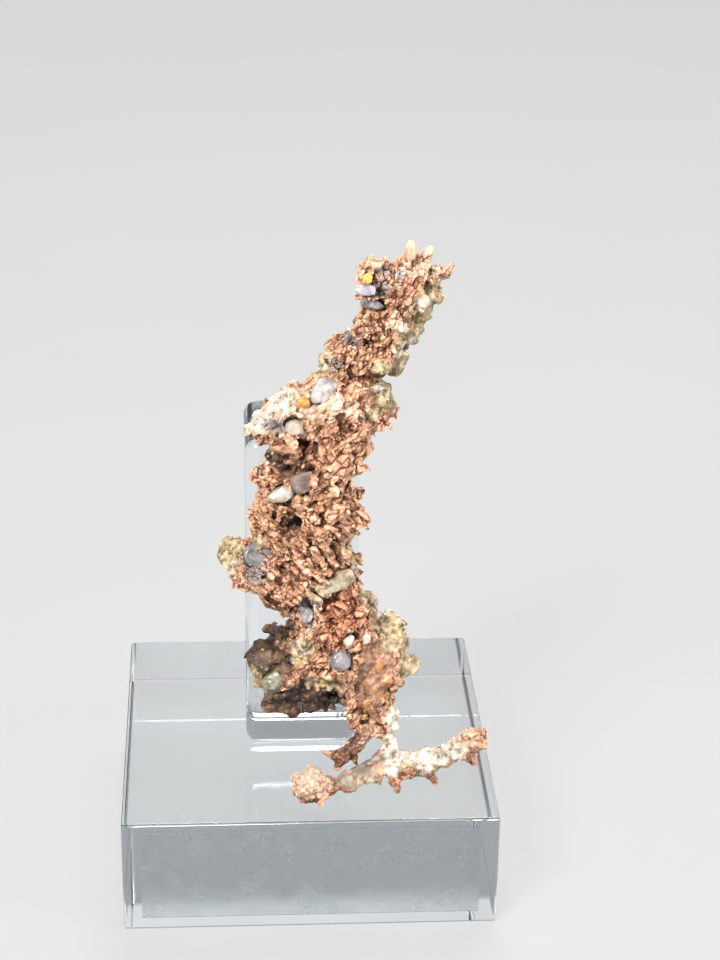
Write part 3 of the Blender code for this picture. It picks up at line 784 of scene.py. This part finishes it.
def copper_material():
    """Native copper with its crusts: colour by place, tone and grain, with painted shade and
    highlight carried by the tone.
    """
    material, tree, shader = new_material("native_copper")
    mottle = noise_node(tree, 1.2)
    broad = noise_node(tree, 2.6, 3.0)
    tone = math_node(tree, "ADD", math_node(tree, "MULTIPLY", attribute_node(tree, "tone"), 0.80),
                     math_node(tree, "MULTIPLY", mottle, 0.22))
    # Painted shade: a darkening by tone that the coats laid over the metal take on
    light = ramp_node(tree, tone, ((0.10, (0.22, 0.17, 0.14)), (0.45, 0.85), (0.7, 1.0)))

    def laid_over(under, weight, over):
        """A colour over another, darker where the tone is low, which carries painted shade into
        it.
        """
        return mix_node(tree, weight, under, mix_node(tree, 1.0, over, light, "MULTIPLY"))

    def part_of(name, share):
        return math_node(tree, "MULTIPLY", attribute_node(tree, name), share)

    grey = ramp_node(tree, mottle, (
        (0.36, (0.070, 0.064, 0.066)), (0.50, (0.24, 0.225, 0.235)), (0.66, (0.52, 0.50, 0.51)),
    ))
    # The dark metal's colour, also laid as painted shade in the recess and the hollow
    dark_and_shade = ramp_node(tree, math_node(tree, "SUBTRACT", mottle, 0.03), (
        (0.36, (0.018, 0.008, 0.005)), (0.52, (0.070, 0.030, 0.014)), (0.68, (0.21, 0.130, 0.060)),
    ))
    trough = ramp_node(tree, mottle, ((0.4, (0.15, 0.115, 0.090)), (0.6, (0.28, 0.225, 0.180))))
    dusty = (0.74, 0.560, 0.440)
    colour = bare_copper(tree, tone, broad)
    colour = laid_over(colour, part_of("pale", 0.34), dusty)
    colour = laid_over(colour, attribute_node(tree, "pink"), pink_copper(tree, broad))
    colour = laid_over(colour, attribute_node(tree, "dark_and_shade"), dark_and_shade)
    colour = laid_over(colour, attribute_node(tree, "trough"), trough)
    colour = laid_over(colour, part_of("grey", 0.8), grey)
    torn = math_node(tree, "MULTIPLY", attribute_node(tree, "crust"),
                     patches(tree, noise_node(tree, 1.1), 0.43, 0.50))
    whole = math_node(tree, "SUBTRACT", part_of("crust", 0.9), 0.2)
    crusted = math_node(tree, "MULTIPLY", math_node(tree, "MAXIMUM", torn, whole), 1.5)
    colour = laid_over(colour, crusted, crust_colour(tree, broad))
    # Painted glints: small golden spots scattered by noise over the metal
    painted_glints = math_node(tree, "MULTIPLY", patches(tree, noise_node(tree, 0.7, 2.0), 0.67, 0.73), 0.6)
    colour = mix_node(tree, painted_glints, colour, (0.78, 0.480, 0.120))
    tree.links.new(colour, shader.inputs["Base Color"])
    covered = math_node(tree, "MAXIMUM", crusted, attribute_node(tree, "pink"))
    bare = math_node(tree, "SUBTRACT", 1.0, covered)
    bare = math_node(tree, "SUBTRACT", bare, attribute_node(tree, "dark_and_shade"))
    tree.links.new(math_node(tree, "MULTIPLY", bare, 0.34), shader.inputs["Metallic"])
    gloss = math_node(tree, "ADD", math_node(tree, "MULTIPLY", mottle, 0.26), 0.42)
    gloss = math_node(tree, "ADD", gloss, math_node(tree, "MULTIPLY", crusted, 0.25))
    gloss = math_node(tree, "SUBTRACT", gloss, part_of("dark_and_shade", 0.05))
    tree.links.new(gloss, shader.inputs["Roughness"])
    bump_node(tree, shader, noise_node(tree, 0.22, 6.0, 0.7), 0.04, 0.6)
    return material


def acrylic_material():
    """Clear acrylic with faint wear, its blue from the light lost inside it."""
    material, tree, shader = new_material("clear_acrylic")
    shader.inputs["Base Color"].default_value = (0.97, 0.985, 0.99, 1.0)
    shader.inputs["Transmission Weight"].default_value = 1.0
    shader.inputs["IOR"].default_value = 1.49
    wear = noise_node(tree, 6.0, 6.0, 0.7)
    gloss = ramp_node(tree, wear, ((0.4, 0.02), (0.7, 0.09)))
    tree.links.new(gloss, shader.inputs["Roughness"])
    bump_node(tree, shader, noise_node(tree, 9.0, 2.0), 0.03, 0.25)
    depth = tree.nodes.new("ShaderNodeVolumeAbsorption")
    depth.inputs["Color"].default_value = (0.70, 0.83, 0.88, 1.0)
    depth.inputs["Density"].default_value = 6.0
    tree.links.new(depth.outputs["Volume"], tree.nodes["Material Output"].inputs["Volume"])
    return material


def film_material():
    """The bare label: a thin, cloudy clear film."""
    material, tree, shader = new_material("label_film")
    veil = ramp_node(tree, noise_node(tree, 1.6, 6.0, 0.8), (
        (0.35, (0.80, 0.83, 0.85)), (0.55, (0.87, 0.89, 0.90)), (0.68, (0.95, 0.96, 0.97))))
    tree.links.new(veil, shader.inputs["Base Color"])
    shader.inputs["Transmission Weight"].default_value = 1.0
    shader.inputs["IOR"].default_value = 1.45
    gloss = ramp_node(tree, noise_node(tree, 3.0), ((0.3, 0.16), (0.7, 0.30)))
    tree.links.new(gloss, shader.inputs["Roughness"])
    bump_node(tree, shader, noise_node(tree, 2.2, 3.0), 0.03, 0.3)
    return material


# Each grain's darkest and lightest colour
GRAIN_TONES = {
    "quartz_pebble_ledge": ((0.36, 0.27, 0.21), (0.62, 0.53, 0.46)),
    "quartz_pebble_shoulder": ((0.30, 0.27, 0.27), (0.68, 0.64, 0.62)),
    "quartz_pebble_waist": ((0.42, 0.34, 0.26), (0.72, 0.66, 0.60)),
    "quartz_clear_recess": ((0.12, 0.085, 0.062), (0.36, 0.30, 0.255)),
    "quartz_patch_lobe": ((0.14, 0.13, 0.135), (0.38, 0.36, 0.36)),
    "quartz_band": ((0.33, 0.25, 0.14), (0.66, 0.58, 0.45)),
    "quartz_pebble_violet": ((0.17, 0.15, 0.17), (0.40, 0.36, 0.39)),
    "quartz_pebble_green": ((0.15, 0.13, 0.075), (0.38, 0.37, 0.28)),
    "quartz_prism_foot": ((0.30, 0.29, 0.28), (0.66, 0.65, 0.64)),
    "quartz_grain_white_left": ((0.64, 0.55, 0.43), (0.84, 0.78, 0.67)),
    "quartz_grain_white_right": ((0.62, 0.56, 0.47), (0.84, 0.79, 0.71)),
    "quartz_grain_white_small": ((0.64, 0.57, 0.50), (0.84, 0.80, 0.74)),
    "quartz_lath_head_upper": ((0.22, 0.21, 0.24), (0.58, 0.56, 0.60)),
    "quartz_lath_head_lower": ((0.13, 0.125, 0.13), (0.40, 0.38, 0.38)),
    "amber_bead_ledge": ((0.72, 0.22, 0.01), (0.86, 0.52, 0.22)),
    "amber_bead_head": ((0.80, 0.30, 0.02), (0.95, 0.60, 0.15)),
}


def grain_material(name):
    """Cloudy quartz or amber that lets a little light through."""
    material, tree, shader = new_material(name + "_stone")
    low, high = GRAIN_TONES[name]
    veil = noise_node(tree, 1.3, 5.0, 0.65)
    colour = ramp_node(tree, veil, ((0.40, low), (0.60, high)))
    tree.links.new(colour, shader.inputs["Base Color"])
    shader.inputs["Transmission Weight"].default_value = 0.35
    shader.inputs["IOR"].default_value = 1.54
    shader.inputs["Subsurface Weight"].default_value = 0.35
    shader.inputs["Subsurface Radius"].default_value = (1.0, 0.85, 0.7)
    shader.inputs["Subsurface Scale"].default_value = 0.5 * MM
    gloss = ramp_node(tree, noise_node(tree, 0.6), ((0.3, 0.10), (0.7, 0.30)))
    tree.links.new(gloss, shader.inputs["Roughness"])
    bump_node(tree, shader, noise_node(tree, 0.45, 4.0), 0.06, 0.6)
    return material


# Broken faces on a grain: how many, which part of its reach they keep, and how flat they are
CHIPS = 9
CHIP_KEEPS = (0.70, 0.88)
CHIP_FLATNESS = 0.88

# The front face's direction, the part of the front that it keeps, and what it keeps on grains
# that lie flush with the copper
GRAIN_FRONT = (0.15, -0.95, 0.30)
FRONT_KEEP = 0.75
FRONT_KEEPS = {
    "quartz_patch_lobe": 0.56,
    "quartz_pebble_violet": 0.56,
    "quartz_pebble_ledge": 0.62,
    "quartz_pebble_shoulder": 0.52,
    "quartz_clear_recess": 0.60,
}


def grain_piece(name):
    """A grain of quartz or an amber bead: its solid's form, made finer, with broken faces."""
    points, triangles = solid(name)
    middle = points.mean(axis=0)
    points, triangles = remeshed(resized(points, GRAIN_SIZE), triangles, GRAIN_VOXEL)
    rng = np.random.default_rng(sum(map(ord, name)))
    chips = rng.normal(size=(CHIPS, 3))
    chips[0] = GRAIN_FRONT
    for index, chip in enumerate(chips / np.linalg.norm(chips, axis=1)[:, None]):
        reach = (points - middle) @ chip
        kept = rng.uniform(*CHIP_KEEPS) if index else FRONT_KEEPS.get(name, FRONT_KEEP)
        over = np.maximum(reach - kept * reach.max(), 0.0)
        points = points - CHIP_FLATNESS * over[:, None] * chip
    points = relaxed(points, triangles, 1)
    normals = point_normals(points, triangles)
    push = 0.04 * rough_noise(points, 0.7, 91, 2)
    piece = make_piece(name + "_detail", points + normals * push[:, None], triangles,
                       grain_material(name))
    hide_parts(name)


def place_camera():
    """The photograph's camera, from its place, its three angles and its focal length."""
    yaw, pitch, roll = (math.radians(v) for v in (CAMERA_YAW, CAMERA_PITCH, CAMERA_ROLL))
    forward = Vector((math.sin(yaw) * math.cos(pitch), math.cos(yaw) * math.cos(pitch),
                      -math.sin(pitch)))
    level = Vector((math.cos(yaw), -math.sin(yaw), 0.0))
    upward = level.cross(forward)
    right = math.cos(roll) * level + math.sin(roll) * upward
    top = math.cos(roll) * upward - math.sin(roll) * level
    data = bpy.data.cameras.new("camera")
    data.sensor_fit = "VERTICAL"
    data.sensor_height = SENSOR_HEIGHT
    data.lens = FOCAL_PIXELS / IMAGE_HEIGHT * SENSOR_HEIGHT
    data.clip_start = 0.01
    camera = bpy.data.objects.new("camera", data)
    turn = Matrix((right, top, -forward)).transposed().to_4x4()
    camera.matrix_world = Matrix.Translation(Vector(CAMERA_PLACE) * MM) @ turn
    bpy.context.scene.collection.objects.link(camera)
    bpy.context.scene.camera = camera


def add_area_light(name, place, target, size, power, colour=(1.0, 1.0, 1.0)):
    """A soft light that faces its target."""
    data = bpy.data.lights.new(name, "AREA")
    data.shape = "RECTANGLE"
    data.size, data.size_y = (side * MM for side in size)
    data.energy = power
    data.color = colour
    light = bpy.data.objects.new(name, data)
    light.location = Vector(place) * MM
    line = Vector(target) - Vector(place)
    light.rotation_euler = line.to_track_quat("-Z", "Y").to_euler()
    bpy.context.scene.collection.objects.link(light)


def studio():
    """A pale floor, a soft sky and three large lights."""
    half, level = 1500.0, -0.03
    corners = ((-half, -half), (half, -half), (half, half), (-half, half))
    points = np.array([(x, y, level) for x, y in corners])
    mesh = bpy.data.meshes.new("floor")
    mesh.from_pydata((points * MM).tolist(), [], [(0, 1, 2, 3)])
    floor = bpy.data.objects.new("floor", mesh)
    bpy.context.scene.collection.objects.link(floor)
    material, tree, shader = new_material("pale_floor")
    tone = ramp_node(tree, noise_node(tree, 40.0, 3.0), ((0.3, 0.065), (0.7, 0.07)))
    tree.links.new(tone, shader.inputs["Base Color"])
    shader.inputs["Roughness"].default_value = 0.65
    shader.inputs["Emission Color"].default_value = (1.0, 1.0, 1.0, 1.0)
    shader.inputs["Emission Strength"].default_value = 0.58
    mesh.materials.append(material)
    world = bpy.data.worlds.new("studio")
    world.use_nodes = True
    sky = world.node_tree.nodes["Background"]
    sky.inputs["Color"].default_value = (0.95, 0.97, 1.0, 1.0)
    sky.inputs["Strength"].default_value = 0.38
    bpy.context.scene.world = world
    bpy.context.scene.view_settings.view_transform = "Standard"
    middle = (0.0, -6.0, 36.0)
    add_area_light("key", (-150.0, -230.0, 260.0), middle, (110.0, 110.0), 2.5, (1.0, 0.98, 0.95))
    add_area_light("side", (260.0, -120.0, 150.0), middle, (120.0, 200.0), 0.9)
    add_area_light("back", (60.0, 220.0, 400.0), middle, (260.0, 120.0), 1.8)


def box_piece(name, low, high, rounding, segments, material, node):
    """A block with rounded edges that stands for a node of the stand."""
    mesh = bpy.data.meshes.new(name)
    corners = [(x, y, z) for x in (low[0], high[0]) for y in (low[1], high[1])
               for z in (low[2], high[2])]
    faces = [(0, 1, 3, 2), (4, 6, 7, 5), (0, 4, 5, 1), (2, 3, 7, 6), (0, 2, 6, 4), (1, 5, 7, 3)]
    mesh.from_pydata((np.array(corners) * MM).tolist(), [], faces)
    mesh.materials.append(material)
    piece = bpy.data.objects.new(name, mesh)
    bpy.context.scene.collection.objects.link(piece)
    bevel = piece.modifiers.new("rounding", "BEVEL")
    bevel.width = rounding * MM
    bevel.segments = segments
    mesh.shade_smooth()
    piece.modifiers.new("flat faces", "WEIGHTED_NORMAL")
    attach(piece, "root")
    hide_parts(node)


def stand():
    """The base block, the post and the label's film."""
    acrylic = acrylic_material()
    box_piece("clear_base", base_low, base_high, 0.35, 3, acrylic, "base_block")
    glue = 0.02
    low = post_low.copy()
    low[2] = base_high[2] + glue
    box_piece("clear_post", low, post_high, 1.5, 6, acrylic, "upright_post")
    film_low, film_high = (np.array(v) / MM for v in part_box("label_film"))
    gap, thickness = 0.05, 0.12
    film_high[1] = base_low[1] - gap
    film_low[1] = film_high[1] - thickness
    film = film_material()
    box_piece("bare_label_film", film_low, film_high, 0.05, 2, film, "label_film")


SHAPES = unit_shapes()

# Places where crystals of one kind grow: centre, half sizes
LOBE = (((-1.6, -11.4, 39.6), (5.4, 4.0, 4.0)),)
WAIST = (((1.8, -12.0, 48.4), (3.2, 3.6, 4.4)),)
FOOT = (((3.4, -12.0, 32.6), (3.4, 4.0, 3.8)),)
RECESS = (((-2.6, -9.8, 50.8), (2.6, 2.6, 2.2)),)

# Hollows and notches that no crystal fills
CLEARINGS = (
    ((5.6, -9.5, 48.3), (2.4, 6.0, 1.7)),
    ((-5.4, -9.5, 50.8), (2.2, 5.0, 2.1)),
    ((-1.9, -11.0, 44.4), (1.7, 2.6, 1.1)),
    ((-6.0, -10.0, 33.0), (2.4, 5.0, 2.6)),
    ((10.6, -8.5, 72.4), (2.6, 3.0, 1.7)),
    ((10.8, -11.0, 71.6), (1.3, 1.6, 1.0)),
    ((4.3, -9.6, 69.6), (1.3, 2.4, 2.2)),
    ((0.0, -10.4, 20.6), (4.4, 5.0, 1.2)),
    ((10.2, -9.5, 57.4), (2.2, 5.0, 2.6)),
    ((7.6, -10.0, 45.5), (2.0, 6.0, 2.4)),
    ((2.6, -16.8, 14.4), (1.4, 2.0, 1.0)),
)

# Growths: shape, how many to a square millimetre, smallest and largest size, how much their
# direction varies, how far they lie down, which way they then point (None for any way), how
# deep they sink, and where they grow (None for everywhere)
COARSE_GROWTHS = (
    ("lump", 0.10, (1.2, 2.2), 0.5, 0.2, None, 0.42, None),
    ("block", 0.08, (1.0, 2.0), 0.6, 0.3, None, 0.42, None),
    ("plate", 0.11, (1.4, 2.7), 0.35, 0.8, None, 0.25, None),
)
MIDDLE_GROWTHS = (
    ("lump", 0.22, (0.6, 1.1), 0.5, 0.3, None, 0.3, None),
    ("block", 0.16, (0.5, 1.0), 0.6, 0.5, None, 0.3, None),
    ("plate", 0.35, (0.8, 1.6), 0.3, 0.85, None, 0.15, None),
    ("lath", 0.5, (1.6, 2.8), 0.2, 0.88, (0.75, 0.0, -0.65), -0.6, LOBE),
    ("plate", 0.35, (1.6, 3.0), 0.25, 0.8, (0.75, 0.0, 0.65), -0.2, WAIST),
    ("lump", 0.30, (1.0, 1.9), 0.4, 0.4, None, 0.0, FOOT),
    ("lath", 0.35, (1.0, 2.4), 0.4, 0.2, None, 0.1, RECESS),
)
FINE_GROWTHS = (
    ("lump", 0.10, (0.30, 0.65), 0.5, 0.3, None, 0.2, None),
    ("plate", 0.14, (0.35, 0.80), 0.3, 0.9, None, 0.0, None),
    ("block", 0.07, (0.25, 0.55), 0.7, 0.4, None, 0.15, None),
    ("prism", 0.01, (0.35, 0.7), 0.5, 0.3, None, 0.2, None),
)

# Crystals that stand out on their own: shape, start, end, width, thickness
PLATES = (
    ("prong", (9.9, -8.6, 70.6), (10.05, -8.5, 73.6), 1.45, 1.2),
    ("prong", (10.9, -8.6, 70.9), (12.05, -8.5, 73.0), 1.25, 1.0),
    ("plate", (7.2, -12.0, 66.4), (9.9, -11.6, 65.3), 1.1, 0.7),
    ("plate", (1.0, -13.4, 49.6), (4.3, -12.8, 51.9), 2.1, 1.0),
    ("lath", (0.6, -13.5, 47.0), (3.6, -12.9, 49.0), 1.2, 0.9),
    ("lath", (-0.3, -12.8, 47.8), (2.7, -13.0, 49.9), 1.1, 0.9),
    ("lath", (1.4, -13.9, 45.6), (4.2, -13.3, 46.6), 1.5, 1.0),
    ("lath", (3.2, -13.3, 54.1), (5.9, -13.3, 55.2), 1.1, 0.9),
    ("lath", (-1.6, -13.4, 47.0), (1.0, -14.0, 45.2), 1.0, 0.9),
    ("lath", (-4.4, -11.8, 53.4), (-0.8, -12.2, 51.9), 1.5, 1.1),
    ("plate", (-4.8, -10.8, 51.4), (-2.4, -10.4, 51.4), 1.5, 0.7),
    ("lath", (-4.0, -10.8, 50.0), (-2.2, -10.6, 50.3), 0.8, 0.6),
    ("lath", (-2.9, -11.0, 50.7), (-0.2, -11.8, 51.3), 0.9, 0.8),
    ("lath", (-3.9, -12.4, 42.8), (-2.8, -12.8, 41.0), 1.0, 0.8),
    ("lath", (-2.7, -12.4, 43.1), (-1.4, -13.4, 41.6), 0.9, 0.8),
    ("lath", (-1.2, -12.6, 43.6), (-0.3, -13.6, 42.2), 0.9, 0.8),
    ("lath", (-4.9, -12.0, 40.6), (-3.0, -13.6, 39.1), 0.9, 0.8),
    ("lath", (-2.1, -13.1, 41.4), (0.2, -14.0, 39.2), 1.0, 0.8),
    ("lath", (0.9, -14.2, 43.4), (2.4, -13.5, 40.8), 0.9, 0.8),
    ("lath", (0.1, -14.0, 42.5), (1.6, -13.8, 39.9), 0.9, 0.8),
    ("lath", (-6.7, -12.8, 38.6), (-4.2, -13.6, 36.8), 0.9, 0.8),
    ("lump", (-1.4, -9.6, 26.6), (-6.7, -9.2, 27.2), 4.2, 4.0),
    ("block", (-2.0, -9.8, 25.4), (-5.6, -9.4, 25.6), 3.4, 3.0),
    ("plate", (1.6, -13.6, 34.4), (4.2, -13.6, 35.8), 1.6, 0.9),
    ("plate", (2.8, -13.9, 32.2), (4.6, -13.6, 33.6), 1.5, 0.9),
)


def copper():
    """The grown copper in closed surfaces, each with its own fine crystals."""
    material = copper_material()
    trunk, arm = solid("copper_trunk"), solid("copper_upper_arm")
    low_parts = ("copper_short_branch", "copper_blade", "copper_right_arm")
    arm_bridge, *low_bridges = [ball(centre, half) for centre, half in BRIDGES]
    fills = []
    for name in GRAIN_NODES:
        points, triangles = solid(name)
        fills.append((resized(points, FILL_SIZE), triangles))
    plates = [placed(*plate) for plate in PLATES]
    foot_top, lobe_top = SEAMS

    # Name, the heights between which fills and plates join it, solids, its crystals' scale,
    # texture, and the nodes that it stands for. A texture is the way the crystals run, their
    # length along it and width across it, the relief's strength, and a shift of the tone.
    sections = (
        ("branches", 0.0, 0.0, [solid(name) for name in low_parts] + low_bridges, 0.42,
         ((1.0, 0.0, 0.2), 0.8, 0.5, 1.0, -0.04), low_parts),
        ("foot", 0.0, foot_top, [cut_between(*trunk, 0.0, foot_top)], 1.0,
         ((0.4, 0.0, 1.0), 1.1, 0.85, 1.0, 0.0), ()),
        ("lobe", foot_top, lobe_top, [cut_between(*trunk, foot_top, lobe_top)], 1.0,
         ((0.75, 0.0, -0.65), 2.0, 0.62, 0.95, -0.05), ()),
        ("waist", lobe_top, NECK, [cut_between(*trunk, lobe_top, TOP)], 1.0,
         ((0.65, 0.0, 0.76), 1.6, 0.9, 1.1, 0.03), ("copper_trunk",)),
        ("arm", NECK, TOP, [arm, arm_bridge], 0.85,
         ((0.35, 0.0, 0.94), 0.9, 0.62, 1.1, -0.05), ("copper_upper_arm",)),
    )
    for index, (name, low, high, solids, scale, texture, nodes) in enumerate(sections):
        def within(parts):
            return [part for part in parts if low <= part[0][:, 2].mean() < high]
        skin = grown_skin(solids + within(fills), within(plates), scale, texture,
                          100 * (index + 1))
        points, triangles, looks = skin
        piece = make_piece("copper_growth_" + name, points, triangles, material, looks)
        if nodes:
            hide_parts(*nodes)
        scatter("copper_crystals_" + name, skin, scale, material, 1000 * (index + 1))


place_camera()
studio()
stand()
copper()
for grain in GRAIN_NODES:
    grain_piece(grain)
